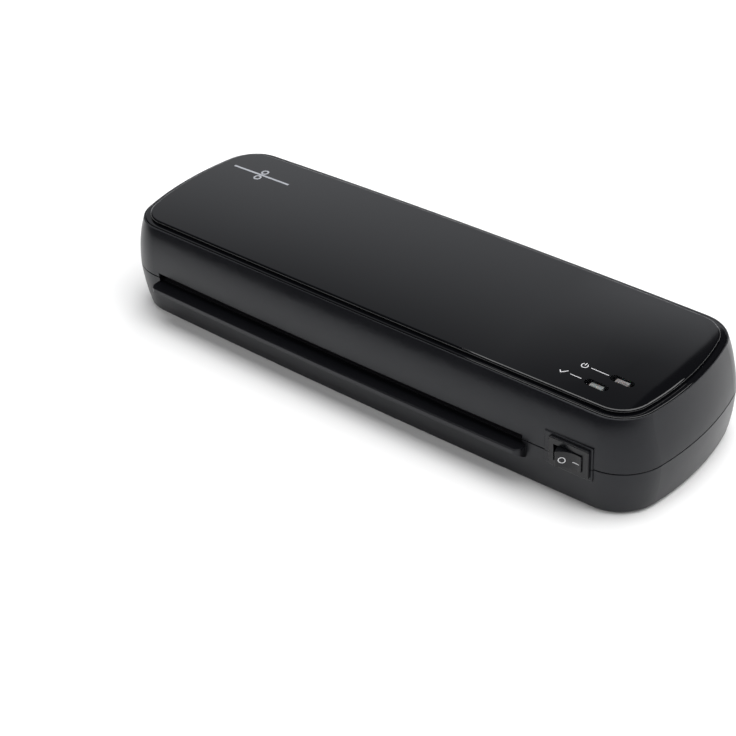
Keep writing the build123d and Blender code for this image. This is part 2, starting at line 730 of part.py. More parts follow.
def spur_gear(teeth, y, z, tooth_angle, bore_radius):
    """A spur gear about X with one tooth's middle at tooth_angle, from +Y towards +Z."""
    pitch_radius = gear_module * teeth / 2
    root_radius = pitch_radius - 1.25 * gear_module
    tip_radius = pitch_radius + gear_module
    half_tooth = 90.0 / teeth * 0.9
    flank = [
        (root_radius - 0.4, 1.60),
        (root_radius + 0.5, 1.36),
        (pitch_radius, 1.0),
        (tip_radius - 0.3, 0.55),
        (tip_radius, 0.36),
    ]
    rising = [(r * cos(radians(half_tooth * w)), r * sin(radians(half_tooth * w))) for r, w in flank]
    falling = [(along, -across) for along, across in reversed(rising)]
    with BuildPart() as gear:
        with BuildSketch(Plane.YZ.offset(gear_x)) as profile:
            with Locations((y, z)):
                Circle(root_radius)
                with PolarLocations(0, teeth, start_angle=tooth_angle):
                    Polygon(*rising, *falling, align=None)
        extrude(amount=gear_width)
        x_cylinder(bore_radius + 2.2, gear_x - 0.6, gear_x + gear_width, y, z)
        x_cylinder(bore_radius, gear_x - 1, gear_x + gear_width + 1, y, z, Mode.SUBTRACT)
    return gear.part


def shaft_clips(axis_z):
    """The two retaining clips in a shaft's grooves."""
    with BuildPart() as clips:
        for clip_x, radius in ((left_clip_x, shaft_radius), (right_clip_x, gear_seat_radius)):
            x_cylinder(radius + 1.4, clip_x + 0.05, clip_x + clip_thickness - 0.05, 0, axis_z)
            x_cylinder(radius - 0.48, clip_x - 1, clip_x + 2, 0, axis_z, Mode.SUBTRACT)
            with BuildSketch(Plane.YZ.offset(clip_x - 1)) as mouth_of_clip:
                with Locations((0, axis_z - radius)):
                    Rectangle(2 * radius - 1.2, 2 * radius)
            extrude(amount=3, mode=Mode.SUBTRACT)
    return clips.part


for name, axis_z, tooth_angle in (("lower", lower_axis_z, 90.0), ("upper", upper_axis_z, 100.0)):
    pieces = {
        "roller_shaft": roller_shaft(axis_z),
        "roller_sleeve": roller_sleeve(axis_z),
        "roller_gear": spur_gear(roller_teeth, 0, axis_z, tooth_angle, gear_seat_radius + 0.01),
        "roller_clips": shaft_clips(axis_z),
    }
    for piece_name, piece in pieces.items():
        piece.label = name + "_" + piece_name
        export_step(piece, "parts/" + piece.label + ".step")


def bushes(axis_z):
    """Flanged plain bearings, one in each side frame."""
    with BuildPart() as pair:
        for inner_x, outwards in ((bush_inner_right, 1), (bush_inner_left, -1)):
            x_cylinder(bush_flange_radius, inner_x - outwards * bush_flange, inner_x, 0, axis_z)
            x_cylinder(bush_radius, inner_x, inner_x + outwards * bush_barrel, 0, axis_z)
            x_cylinder(
                shaft_radius + running_clearance,
                inner_x - outwards * 3,
                inner_x + outwards * 6,
                0,
                axis_z,
                Mode.SUBTRACT,
            )
    return pair.part


for name, axis_z in (("lower_bushes", lower_axis_z), ("upper_bushes", upper_axis_z)):
    pair = bushes(axis_z)
    pair.label = name
    export_step(pair, "parts/" + name + ".step")

# ---------------------------------------------------------------- springs on the upper bushes
spring_x = (frame_right_x + frame_thickness / 2, frame_left_x - frame_thickness / 2)
seat_top_z = upper_axis_z + bush_flange_radius + 0.6
with BuildPart() as spring_seats:
    with BuildSketch(Plane.XY.offset(upper_axis_z + bush_radius - 1.2)) as saddles:
        with Locations(*[(x, 0) for x in spring_x]):
            RectangleRounded(3.4, 7.0, 0.6)
    extrude(amount=seat_top_z - upper_axis_z - bush_radius + 1.2)
    with BuildSketch(Plane.XY.offset(seat_top_z)) as spring_pegs:
        with Locations(*[(x, 0) for x in spring_x]):
            Circle(spring_radius - spring_wire / 2 - 0.15)
    extrude(amount=2.0)
    x_cylinder(bush_radius + 0.02, shaft_left, shaft_right, 0, upper_axis_z, Mode.SUBTRACT)
    x_cylinder(bush_flange_radius + 0.02, bush_inner_left - 0.02, bush_inner_right + 0.02, 0,
               upper_axis_z, Mode.SUBTRACT)
spring_seats.part.label = "spring_seats"
export_step(spring_seats.part, "parts/spring_seats.step")

spring_turns = 3.0
with BuildPart() as pressure_springs:
    for x in spring_x:
        spring_low = seat_top_z + spring_wire / 2 + 0.02
        spring_height = spring_top_z - spring_wire / 2 - 0.05 - spring_low
        coil = Helix(spring_height / spring_turns, spring_height, spring_radius, center=(x, 0, spring_low),
                     mode=Mode.PRIVATE)
        with BuildSketch(Plane(origin=coil @ 0, z_dir=coil % 0)) as wire:
            Circle(spring_wire / 2)
        sweep(path=coil)
pressure_springs.part.label = "pressure_springs"
export_step(pressure_springs.part, "parts/pressure_springs.step")


# ---------------------------------------------------------------- heat shoes, heaters and sensors
def arc_band(inner, outer, from_angle, to_angle, axis_z):
    """A band about a roller's axis, seen along X, between two angles from +Y towards +Z."""
    middle = (from_angle + to_angle) / 2

    def at(radius, angle):
        return (radius * cos(radians(angle)), axis_z + radius * sin(radians(angle)))

    with BuildSketch() as band:
        with BuildLine():
            ThreePointArc(at(inner, from_angle), at(inner, middle), at(inner, to_angle))
            Line(at(inner, to_angle), at(outer, to_angle))
            ThreePointArc(at(outer, to_angle), at(outer, middle), at(outer, from_angle))
            Line(at(outer, from_angle), at(inner, from_angle))
        make_face()
    return band.sketch


roller_span = roller_right - roller_left
peg_left = frame_left_x - frame_thickness
peg_right = frame_right_x + frame_thickness
nip_plane = Plane.XY.offset(nip_z)

with BuildPart() as lower_heat_shoe:
    with BuildSketch(Plane.YZ.offset(roller_left)) as shoe_profile:
        add(arc_band(shoe_inner_radius, shoe_outer_radius, 199, 341, lower_axis_z))
    extrude(amount=roller_span)
    with BuildSketch(Plane.YZ.offset(frame_left_x + 0.2)) as shoe_ribs:
        with Locations((-shoe_rib[0], shoe_rib[1]), (shoe_rib[0], shoe_rib[1])):
            Rectangle(5.2, 4.0)
    extrude(amount=frame_right_x - frame_left_x - 0.4)
    x_cylinder(shoe_inner_radius, roller_left - 5, roller_right + 5, 0, lower_axis_z, Mode.SUBTRACT)
    for side in (-1, 1):
        x_cylinder(peg_radius, peg_left, peg_right, side * shoe_rib[0], shoe_rib[1])
lower_heat_shoe.part.label = "lower_heat_shoe"
export_step(lower_heat_shoe.part, "parts/lower_heat_shoe.step")

upper_heat_shoe = lower_heat_shoe.part.mirror(nip_plane)
upper_heat_shoe.label = "upper_heat_shoe"
export_step(upper_heat_shoe, "parts/upper_heat_shoe.step")

with BuildPart() as lower_heater:
    with BuildSketch(Plane.YZ.offset(roller_left)) as heater_profile:
        add(arc_band(shoe_outer_radius + 0.05, heater_radius, 242, 298, lower_axis_z))
    extrude(amount=roller_span - 4)
lower_heater.part.label = "lower_heater"
export_step(lower_heater.part, "parts/lower_heater.step")

upper_heater = lower_heater.part.mirror(nip_plane)
upper_heater.label = "upper_heater"
export_step(upper_heater, "parts/upper_heater.step")

sensor_face_y = shoe_rib[0] + 2.65
sensor_z = 2 * nip_z - shoe_rib[1]
with BuildPart() as thermostat:
    with BuildSketch(Plane.XZ.offset(-sensor_face_y)) as thermostat_flange:
        with Locations((20.0, sensor_z)):
            SlotOverall(22.0, 5.0)
    extrude(amount=-0.8)
    with BuildSketch(Plane.XZ.offset(-sensor_face_y)) as thermostat_can:
        with Locations((20.0, sensor_z)):
            Circle(4.6)
    extrude(amount=-4.0)
    with BuildSketch(Plane.XZ.offset(-sensor_face_y - 2.5)) as thermostat_tags:
        with Locations((20.0, sensor_z)):
            with GridLocations(13.0, 0, 2, 1):
                Rectangle(5.0, 0.6)
    extrude(amount=-1.0)
thermostat.part.label = "thermostat"
export_step(thermostat.part, "parts/thermostat.step")

with BuildPart() as thermal_fuse:
    x_cylinder(1.9, -48.0, -38.0, sensor_face_y + 2.0, sensor_z)
    x_cylinder(0.5, -58.0, -28.0, sensor_face_y + 2.0, sensor_z)
thermal_fuse.part.label = "thermal_fuse"
export_step(thermal_fuse.part, "parts/thermal_fuse.step")

shield_z = frame_high_z - 1.3
with BuildPart() as heat_shield:
    with BuildSketch(Plane.YZ.offset(frame_left_x + 0.2)) as shield_profile:
        with BuildLine():
            shield_line = FilletPolyline(
                (-23.0, 43.0), (-23.0, shield_z + 0.3), (23.0, shield_z + 0.3), (23.0, 43.0), radius=1.5
            )
            offset(shield_line, amount=0.3)
        make_face()
    extrude(amount=frame_right_x - frame_left_x - 0.4)
    with BuildSketch(Plane.XY.offset(shield_z)) as shield_tabs:
        for side in (-1, 1):
            with Locations(((peg_left + peg_right) / 2, side * 15.0)):
                Rectangle(peg_right - peg_left, 8.0)
    extrude(amount=0.6)
heat_shield.part.label = "heat_shield"
export_step(heat_shield.part, "parts/heat_shield.step")

# ---------------------------------------------------------------- pouch guides
guide_face_z = slot_low_z - 0.1
with BuildPart() as entry_guide_lower:
    with BuildSketch(Plane.YZ.offset(frame_left_x + 0.2)) as guide_profile:
        with BuildLine():
            Polyline(
                (-guide_outer_y, guide_face_z),
                (-15.0, guide_face_z),
                (-guide_tip_y, guide_face_z + 1.3),
                (-guide_tip_y, guide_face_z + 0.3),
                (-14.6, guide_face_z - guide_thickness),
                (-guide_outer_y, guide_face_z - guide_thickness),
                close=True,
            )
        make_face()
        with Locations((-guide_peg[0], nip_z - guide_peg[1])):
            Rectangle(4.4, 5.0)
    extrude(amount=frame_right_x - frame_left_x - 0.4)
    x_cylinder(peg_radius, peg_left, peg_right, -guide_peg[0], nip_z - guide_peg[1])
entry_guide_lower.part.label = "entry_guide_lower"
export_step(entry_guide_lower.part, "parts/entry_guide_lower.step")

guide_mirrors = {
    "entry_guide_upper": entry_guide_lower.part.mirror(nip_plane),
    "exit_guide_lower": entry_guide_lower.part.mirror(Plane.XZ),
    "exit_guide_upper": entry_guide_lower.part.mirror(Plane.XZ).mirror(nip_plane),
}
for name, guide in guide_mirrors.items():
    guide.label = name
    export_step(guide, "parts/" + name + ".step")

# ---------------------------------------------------------------- gear motor and its mounting
can_x = bracket_x + bracket_thickness
ear_points = [
    (motor_centre[0] + side * ear_reach * cos(radians(ear_angle)),
     motor_centre[1] + side * ear_reach * sin(radians(ear_angle)))
    for side in (-1, 1)
]
with BuildPart() as motor_bracket:
    with BuildSketch(Plane.YZ.offset(bracket_x)) as bracket_outline:
        with Locations((24.25, 26.5)):
            RectangleRounded(44.5, 39.0, 3.0)
        with Locations((motor_shaft_y, lower_axis_z)):
            Circle(gear_seat_radius + 0.6, mode=Mode.SUBTRACT)
        with Locations(*standoff_points):
            Circle(1.55, mode=Mode.SUBTRACT)
        with Locations(*ear_points):
            Circle(screw_hole_radius, mode=Mode.SUBTRACT)
    extrude(amount=bracket_thickness)
motor_bracket.part.label = "motor_bracket"
export_step(motor_bracket.part, "parts/motor_bracket.step")

with BuildPart() as motor_standoffs:
    with BuildSketch(Plane.YZ.offset(frame_right_x + frame_thickness)) as posts:
        with Locations(*standoff_points):
            RegularPolygon(3.2, 6)
    extrude(amount=bracket_x - frame_right_x - frame_thickness)
    with BuildSketch(Plane.YZ.offset(frame_right_x)) as spigots:
        with Locations(*standoff_points):
            Circle(1.5)
    extrude(amount=bracket_x + bracket_thickness - frame_right_x)
motor_standoffs.part.label = "motor_standoffs"
export_step(motor_standoffs.part, "parts/motor_standoffs.step")

with BuildPart() as gear_motor:
    x_cylinder(motor_radius, can_x, can_x + motor_length, *motor_centre)
    fillet(gear_motor.faces().sort_by(Axis.X)[-1].edges(), 1.2)
    with BuildSketch(Plane.YZ.offset(can_x)) as ears:
        with Locations(motor_centre):
            with Locations(Rotation(0, 0, ear_angle)):
                SlotCenterToCenter(2 * ear_reach, 7.0)
        with Locations(*ear_points):
            Circle(1.6, mode=Mode.SUBTRACT)
    extrude(amount=1.0)
    x_cylinder(gear_seat_radius + running_clearance, can_x - 1, can_x + 6, motor_shaft_y, lower_axis_z,
               Mode.SUBTRACT)
    with BuildSketch(Plane.YZ.offset(can_x + motor_length)) as motor_plug:
        with Locations((motor_centre[0], motor_centre[1] + 8)):
            Rectangle(12.0, 6.0)
    extrude(amount=3.0)
gear_motor.part.label = "gear_motor"
export_step(gear_motor.part, "parts/gear_motor.step")

with BuildPart() as motor_screws:
    with BuildSketch(Plane.YZ.offset(can_x + 1.0)) as motor_heads:
        with Locations(*ear_points):
            Circle(screw_head_radius - 0.3)
    extrude(amount=1.6)
    with BuildSketch(Plane.YZ.offset(bracket_x - 0.3)) as motor_shanks:
        with Locations(*ear_points):
            Circle(screw_radius)
    extrude(amount=bracket_thickness + 1.3)
motor_screws.part.label = "motor_screws"
export_step(motor_screws.part, "parts/motor_screws.step")

with BuildPart() as motor_shaft:
    x_cylinder(gear_seat_radius, gear_x - 1.0, can_x + 5.5, motor_shaft_y, lower_axis_z)
    chamfer(motor_shaft.edges().filter_by(GeomType.CIRCLE).sort_by(Axis.X)[0], 0.4)
motor_shaft.part.label = "motor_shaft"
export_step(motor_shaft.part, "parts/motor_shaft.step")

motor_gear = spur_gear(motor_teeth, motor_shaft_y, lower_axis_z, 180.0, gear_seat_radius + 0.01)
motor_gear.label = "motor_gear"
export_step(motor_gear, "parts/motor_gear.step")


# ---------------------------------------------------------------- internal leads
def insulated_lead(points, radius, bend):
    """One round lead along straight runs joined by tangent arcs."""
    path = FilletPolyline(*points, radius=bend, mode=Mode.PRIVATE)
    with BuildPart() as wire:
        with BuildSketch(Plane(origin=path @ 0, z_dir=path % 0)):
            Circle(radius)
        sweep(path=path)
    return wire.part


block_face_x = 144.4
block_entry_z = floor_z + 3.2
block_well_z = floor_z + 5.4
spade_y = pad_y + 22.1
heater_end_x = roller_right - 4 + 0.1
leads = {
    "switch_leads": (
        [(122.4, spade_y, switch_z), (122.4, -24.5, switch_z), (127.0, -19.0, 17.0),
         (137.0, -8.0, block_entry_z), (block_face_x, -8.0, block_entry_z)],
        [(133.4, spade_y, switch_z), (133.4, -24.5, switch_z), (141.0, -19.0, 21.0), (150.0, -8.0, 18.0),
         (150.0, -8.0, block_well_z)],
    ),
    "motor_leads": (
        [(can_x + motor_length + 3.1, 24.0, 32.8), (145.5, 24.0, 32.8), (149.5, 20.0, 24.0),
         (150.0, 8.0, 18.0), (150.0, 8.0, block_well_z)],
    ),
    "led_leads": (
        [(138.5, -31.0, 43.9), (138.5, -31.0, 38.0), (144.0, -22.0, 30.0), (150.0, 0.0, 20.0),
         (150.0, 0.0, block_well_z)],
    ),
    "heater_leads": (
        [(heater_end_x, 0.0, 4.95), (118.0, 0.0, 4.95), (136.0, 0.0, block_entry_z),
         (block_face_x, 0.0, block_entry_z)],
        [(heater_end_x, -3.0, 45.8), (100.6, -3.0, 45.8), (101.0, -16.0, 44.0), (101.0, -24.0, 36.0),
         (101.6, -24.0, 33.0), (113.0, -24.0, 33.0), (124.0, -10.0, 23.0), (135.0, 2.0, 13.0),
         (140.0, 8.0, block_entry_z), (block_face_x, 8.0, block_entry_z)],
    ),
}
lead_sizes = {"switch_leads": (0.9, 2.5), "motor_leads": (0.8, 2.5), "led_leads": (0.6, 2.5),
              "heater_leads": (0.4, 1.2)}
for name, routes in leads.items():
    radius, bend = lead_sizes[name]
    wires = [insulated_lead(route, radius, bend) for route in routes]
    with BuildPart() as bundle:
        add(wires)
    bundle.part.label = name
    export_step(bundle.part, "parts/" + name + ".step")
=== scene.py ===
import json
from math import cos, pi, radians, sin, sqrt

import bmesh
import bpy
from mathutils import Matrix, Vector


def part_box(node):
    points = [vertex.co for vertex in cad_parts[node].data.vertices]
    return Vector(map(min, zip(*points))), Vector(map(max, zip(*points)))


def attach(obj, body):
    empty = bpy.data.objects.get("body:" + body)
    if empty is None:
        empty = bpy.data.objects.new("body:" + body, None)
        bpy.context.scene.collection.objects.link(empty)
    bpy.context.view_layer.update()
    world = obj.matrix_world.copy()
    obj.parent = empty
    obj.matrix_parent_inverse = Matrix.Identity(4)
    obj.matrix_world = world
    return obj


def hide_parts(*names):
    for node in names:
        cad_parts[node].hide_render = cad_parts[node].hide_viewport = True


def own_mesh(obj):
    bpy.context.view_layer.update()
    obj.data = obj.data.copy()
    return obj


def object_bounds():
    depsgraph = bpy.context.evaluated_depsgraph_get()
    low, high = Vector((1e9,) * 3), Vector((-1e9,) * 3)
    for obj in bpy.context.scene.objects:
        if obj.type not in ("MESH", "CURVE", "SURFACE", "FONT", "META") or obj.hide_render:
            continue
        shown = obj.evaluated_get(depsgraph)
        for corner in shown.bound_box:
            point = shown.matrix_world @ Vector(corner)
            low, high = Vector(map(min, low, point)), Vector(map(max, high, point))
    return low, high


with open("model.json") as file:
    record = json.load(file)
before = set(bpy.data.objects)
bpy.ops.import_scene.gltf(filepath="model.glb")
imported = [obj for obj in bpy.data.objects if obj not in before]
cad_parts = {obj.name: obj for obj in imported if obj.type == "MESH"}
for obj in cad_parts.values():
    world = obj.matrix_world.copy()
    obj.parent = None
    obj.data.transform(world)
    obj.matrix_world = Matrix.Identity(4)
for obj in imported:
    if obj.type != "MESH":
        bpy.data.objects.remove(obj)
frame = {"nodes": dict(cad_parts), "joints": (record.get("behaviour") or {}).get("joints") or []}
cad_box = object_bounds()
nodes = frame["nodes"]
MM = 0.001

# the camera, solved from the machine's outline
AZIMUTH, ELEVATION, ROLL = radians(42.34), radians(35.91), radians(-4.21)
CAMERA_PLACE = (0.44665, -0.52991, 0.49594)
FOCAL_LENGTH = 81.07                # in mm, on a sensor 36 mm wide

# the wall behind the machine, whose places are slopes: rise or side step over distance
STUDIO_GLOW = 0.035                 # everywhere but the pale wall
WALL_GLOW = (0.85, 0.10)            # low and high on the wall
WALL_FADE = (0.70, 1.00)            # rise where it darkens
WALL_LEAN = 0.65                    # its end leans by this much side step for each rise
WALL_EDGE = (0.0135, 0.0160)        # where the wall stops
NEAR_END = (-0.14, -0.02)           # where the shade of its end starts and is full
END_SHADE = 0.07                    # that shade, as an earlier fade
FOOT_FADE = (0.79, 0.85)            # rise where the brighter foot of the end fades


# ---------------------------------------------------------------- camera
def make_camera():
    """The camera at the photograph's viewing angle: turned, tilted, and slightly rolled."""
    back = Vector((sin(AZIMUTH) * cos(ELEVATION), -cos(AZIMUTH) * cos(ELEVATION), sin(ELEVATION)))
    level_right = Vector((cos(AZIMUTH), sin(AZIMUTH), 0))
    level_up = back.cross(level_right)
    right = cos(ROLL) * level_right + sin(ROLL) * level_up
    up = cos(ROLL) * level_up - sin(ROLL) * level_right
    camera = bpy.data.objects.new("camera", bpy.data.cameras.new("camera"))
    camera.data.lens = FOCAL_LENGTH
    camera.data.sensor_width = 36.0
    camera.data.clip_end = 20
    place = Matrix((right, up, back)).transposed().to_4x4()
    place.translation = CAMERA_PLACE
    camera.matrix_world = place
    bpy.context.scene.collection.objects.link(camera)
    bpy.context.scene.camera = camera


# ---------------------------------------------------------------- stage and light
def make_stage():
    """A wide white floor."""
    mesh = bpy.data.meshes.new("floor")
    reach = 6.0
    mesh.from_pydata([(-reach, -reach, 0), (reach, -reach, 0), (reach, reach, 0), (-reach, reach, 0)],
                     [], [(0, 1, 2, 3)])
    floor = bpy.data.objects.new("floor", mesh)
    bpy.context.scene.collection.objects.link(floor)
    material = bpy.data.materials.new("floor_white")
    material.use_nodes = True
    shader = material.node_tree.nodes["Principled BSDF"]
    shader.inputs["Base Color"].default_value = (0.92, 0.92, 0.92, 1)
    shader.inputs["Roughness"].default_value = 0.9
    shader.inputs["Specular IOR Level"].default_value = 0.0
    mesh.materials.append(material)


def softbox(name, place, target, size, power, seen_in_gloss=True):
    """A rectangular area light that faces target."""
    data = bpy.data.lights.new(name, "AREA")
    data.shape = "RECTANGLE"
    data.size, data.size_y = size
    data.energy = power
    light = bpy.data.objects.new(name, data)
    light.location = place
    light.rotation_euler = (Vector(target) - Vector(place)).to_track_quat("-Z", "Y").to_euler()
    light.visible_camera = False
    light.visible_glossy = seen_in_gloss
    bpy.context.scene.collection.objects.link(light)


def calc(tree, operation, first, second):
    """A Math node's result; first and second are sockets or numbers."""
    made = tree.nodes.new("ShaderNodeMath")
    made.operation = operation
    for socket, value in zip(made.inputs, (first, second)):
        if isinstance(value, (int, float)):
            socket.default_value = value
        else:
            tree.links.new(value, socket)
    return made.outputs["Value"]


def remap(tree, value, from_low, from_high, to_low, to_high, smooth=False):
    """A Map Range node's result."""
    made = tree.nodes.new("ShaderNodeMapRange")
    made.interpolation_type = "SMOOTHSTEP" if smooth else "LINEAR"
    made.inputs["From Min"].default_value = from_low
    made.inputs["From Max"].default_value = from_high
    made.inputs["To Min"].default_value = to_low
    made.inputs["To Max"].default_value = to_high
    tree.links.new(value, made.inputs["Value"])
    return made.outputs["Result"]


def make_world():
    """A dim studio with a pale wall behind the machine that darkens upwards and stops at one side."""
    world = bpy.data.worlds.new("studio")
    world.use_nodes = True
    tree = world.node_tree
    coords = tree.nodes.new("ShaderNodeTexCoord")
    split = tree.nodes.new("ShaderNodeSeparateXYZ")
    tree.links.new(coords.outputs["Generated"], split.inputs["Vector"])
    behind = calc(tree, "MAXIMUM", split.outputs["Y"], 0.02)
    climb = calc(tree, "DIVIDE", split.outputs["Z"], behind)
    sideways = calc(tree, "DIVIDE", split.outputs["X"], behind)
    edge = calc(tree, "ADD", sideways, calc(tree, "MULTIPLY", climb, WALL_LEAN))
    near_end = remap(tree, edge, *NEAR_END, 0.0, 1.0)
    shaded = calc(tree, "ADD", climb, calc(tree, "MULTIPLY", near_end, END_SHADE))
    wall = remap(tree, shaded, *WALL_FADE, *WALL_GLOW, smooth=True)
    foot = calc(tree, "MULTIPLY", near_end, remap(tree, climb, *FOOT_FADE, 0.9, 0.1))
    stops = remap(tree, edge, *WALL_EDGE, 1.0, 0.0, smooth=True)
    back_half = remap(tree, split.outputs["Y"], 0.05, 0.25, 0.0, 1.0)
    lit = calc(tree, "MULTIPLY", calc(tree, "MULTIPLY", wall, calc(tree, "ADD", foot, 1.0)),
               calc(tree, "MULTIPLY", stops, back_half))
    glow = calc(tree, "MAXIMUM", lit, STUDIO_GLOW)
    background = tree.nodes["Background"]
    background.inputs["Color"].default_value = (0.94, 0.96, 1, 1)
    tree.links.new(glow, background.inputs["Strength"])
    bpy.context.scene.world = world


def make_lights():
    """One broad overhead box, and fills that only whiten the floor around the machine."""
    softbox("overhead", (0.25, 0.45, 1.5), (0.25, 0.35, 0), (2.0, 1.8), 40)
    softbox("floor_fill_front", (0.1, -1.5, 1.2), (0.1, -0.1, 0), (1.6, 1.0), 13, seen_in_gloss=False)
    softbox("floor_fill_side", (1.6, 0.2, 1.1), (0.2, 0, 0), (1.0, 1.2), 10.5, seen_in_gloss=False)


# ---------------------------------------------------------------- material parts
def new_material(name, color, roughness, metallic=0.0):
    """A material with those plain values, its node tree and its shader."""
    material = bpy.data.materials.new(name)
    material.use_nodes = True
    tree = material.node_tree
    shader = tree.nodes["Principled BSDF"]
    shader.inputs["Base Color"].default_value = (*color, 1)
    shader.inputs["Roughness"].default_value = roughness
    shader.inputs["Metallic"].default_value = metallic
    return material, tree, shader


def noise(tree, scale, detail=2.0, stretch=(1, 1, 1)):
    """Noise in the piece's own coordinates, scale in waves per metre."""
    coords = tree.nodes.new("ShaderNodeTexCoord")
    mapping = tree.nodes.new("ShaderNodeMapping")
    mapping.inputs["Scale"].default_value = stretch
    texture = tree.nodes.new("ShaderNodeTexNoise")
    texture.inputs["Scale"].default_value = scale
    texture.inputs["Detail"].default_value = detail
    tree.links.new(coords.outputs["Object"], mapping.inputs["Vector"])
    tree.links.new(mapping.outputs["Vector"], texture.inputs["Vector"])
    return texture.outputs[0]


def vary_roughness(tree, shader, factor, low, high):
    """Roughness from low to high over the noise's middle range."""
    tree.links.new(remap(tree, factor, 0.3, 0.7, low, high), shader.inputs["Roughness"])


def vary_color(tree, shader, factor, dark, light):
    """Base colour from dark to light over the noise's middle range."""
    ramp = tree.nodes.new("ShaderNodeValToRGB")
    for element, position, color in zip(ramp.color_ramp.elements, (0.36, 0.64), (dark, light)):
        element.position = position
        element.color = (*color, 1)
    tree.links.new(factor, ramp.inputs[0])
    tree.links.new(ramp.outputs[0], shader.inputs["Base Color"])


def relief(tree, shader, height, depth, strength=1.0):
    """Bumps of that depth in metres."""
    bump = tree.nodes.new("ShaderNodeBump")
    bump.inputs["Distance"].default_value = depth
    bump.inputs["Strength"].default_value = strength
    tree.links.new(height, bump.inputs["Height"])
    tree.links.new(bump.outputs["Normal"], shader.inputs["Normal"])


# ---------------------------------------------------------------- materials
def satin_plastic():
    """Moulded case plastic with a very fine spark-eroded texture."""
    material, tree, shader = new_material("satin_plastic", (0.005, 0.0052, 0.0065), 0.3)
    shader.inputs["Specular IOR Level"].default_value = 0.32
    shader.inputs["Specular Tint"].default_value = (0.93, 0.95, 1.0, 1)
    vary_roughness(tree, shader, noise(tree, 26.0, 4.0), 0.28, 0.34)
    relief(tree, shader, noise(tree, 2600.0, 2.0), 0.00001, 0.4)
    return material


def piano_plastic():
    """Polished cover plastic, slightly wavy as moulded gloss always is."""
    material, tree, shader = new_material("piano_plastic", (0.0022, 0.0023, 0.003), 0.05)
    vary_roughness(tree, shader, noise(tree, 14.0, 3.0), 0.01, 0.03)
    relief(tree, shader, noise(tree, 55.0, 1.0), 0.000006, 0.3)
    return material


def switch_plastic():
    """Semi-gloss nylon of the switch's housing."""
    material, tree, shader = new_material("switch_plastic", (0.0055, 0.0057, 0.007), 0.28)
    shader.inputs["Specular IOR Level"].default_value = 0.32
    vary_roughness(tree, shader, noise(tree, 160.0, 3.0), 0.24, 0.34)
    relief(tree, shader, noise(tree, 1500.0, 2.0), 0.000006, 0.4)
    return material


def rocker_plastic():
    """The rocker, smoother than its housing."""
    material, tree, shader = new_material("rocker_plastic", (0.005, 0.0052, 0.0062), 0.22)
    shader.inputs["Specular IOR Level"].default_value = 0.3
    vary_roughness(tree, shader, noise(tree, 240.0, 3.0), 0.18, 0.28)
    relief(tree, shader, noise(tree, 900.0, 2.0), 0.000004, 0.4)
    return material


def smoked_lens():
    """Lightly smoked clear window, polished on top."""
    material, tree, shader = new_material("smoked_lens", (0.004, 0.004, 0.005), 0.04)
    shader.inputs["Alpha"].default_value = 0.12
    vary_roughness(tree, shader, noise(tree, 120.0, 2.0), 0.03, 0.07)
    relief(tree, shader, noise(tree, 90.0, 1.0), 0.000003, 0.2)
    return material


def led_epoxy(name, color, deep):
    """Milky LED body with its filler drawn out along it."""
    material, tree, shader = new_material(name, color, 0.3)
    shader.inputs["Subsurface Weight"].default_value = 0.15
    shader.inputs["Subsurface Scale"].default_value = 0.0006
    cloud = noise(tree, 900.0, 3.0, (0.15, 1, 1))
    vary_color(tree, shader, cloud, deep, color)
    vary_roughness(tree, shader, cloud, 0.22, 0.4)
    return material


def circuit_board():
    """Green solder mask with faint copper runs under it."""
    material, tree, shader = new_material("circuit_board", (0.02, 0.13, 0.05), 0.4)
    vary_color(tree, shader, noise(tree, 420.0, 0.0, (1, 0.15, 1)), (0.012, 0.09, 0.035), (0.03, 0.17, 0.07))
    relief(tree, shader, noise(tree, 420.0, 0.0, (1, 0.15, 1)), 0.00004)
    return material


def silicone():
    """Brick-red heat-resistant silicone with ground-finish rings around the sleeve."""
    material, tree, shader = new_material("silicone", (0.42, 0.07, 0.035), 0.6)
    rings = noise(tree, 900.0, 2.0, (1, 0.05, 0.05))
    vary_color(tree, shader, noise(tree, 45.0, 3.0), (0.34, 0.055, 0.028), (0.46, 0.08, 0.04))
    vary_roughness(tree, shader, rings, 0.5, 0.7)
    relief(tree, shader, rings, 0.00002)
    return material


def white_nylon():
    """Natural nylon of the gears and bushes."""
    material, tree, shader = new_material("white_nylon", (0.74, 0.72, 0.64), 0.42)
    shader.inputs["Subsurface Weight"].default_value = 0.1
    shader.inputs["Subsurface Scale"].default_value = 0.001
    vary_color(tree, shader, noise(tree, 120.0, 3.0), (0.68, 0.66, 0.57), (0.77, 0.75, 0.68))
    vary_roughness(tree, shader, noise(tree, 300.0, 2.0), 0.36, 0.5)
    return material


def black_rubber():
    """Matte rubber of the feet and the gland, dusty in patches."""
    material, tree, shader = new_material("black_rubber", (0.02, 0.02, 0.02), 0.85)
    vary_color(tree, shader, noise(tree, 180.0, 5.0), (0.014, 0.014, 0.014), (0.035, 0.034, 0.032))
    relief(tree, shader, noise(tree, 1400.0, 3.0), 0.00003)
    return material


def aluminium_sheet():
    """Rolled aluminium with its rolling grain along the length."""
    material, tree, shader = new_material("aluminium_sheet", (0.80, 0.81, 0.83), 0.32, 1.0)
    grain = noise(tree, 1600.0, 3.0, (0.03, 1, 1))
    vary_roughness(tree, shader, grain, 0.24, 0.42)
    relief(tree, shader, grain, 0.000008)
    return material


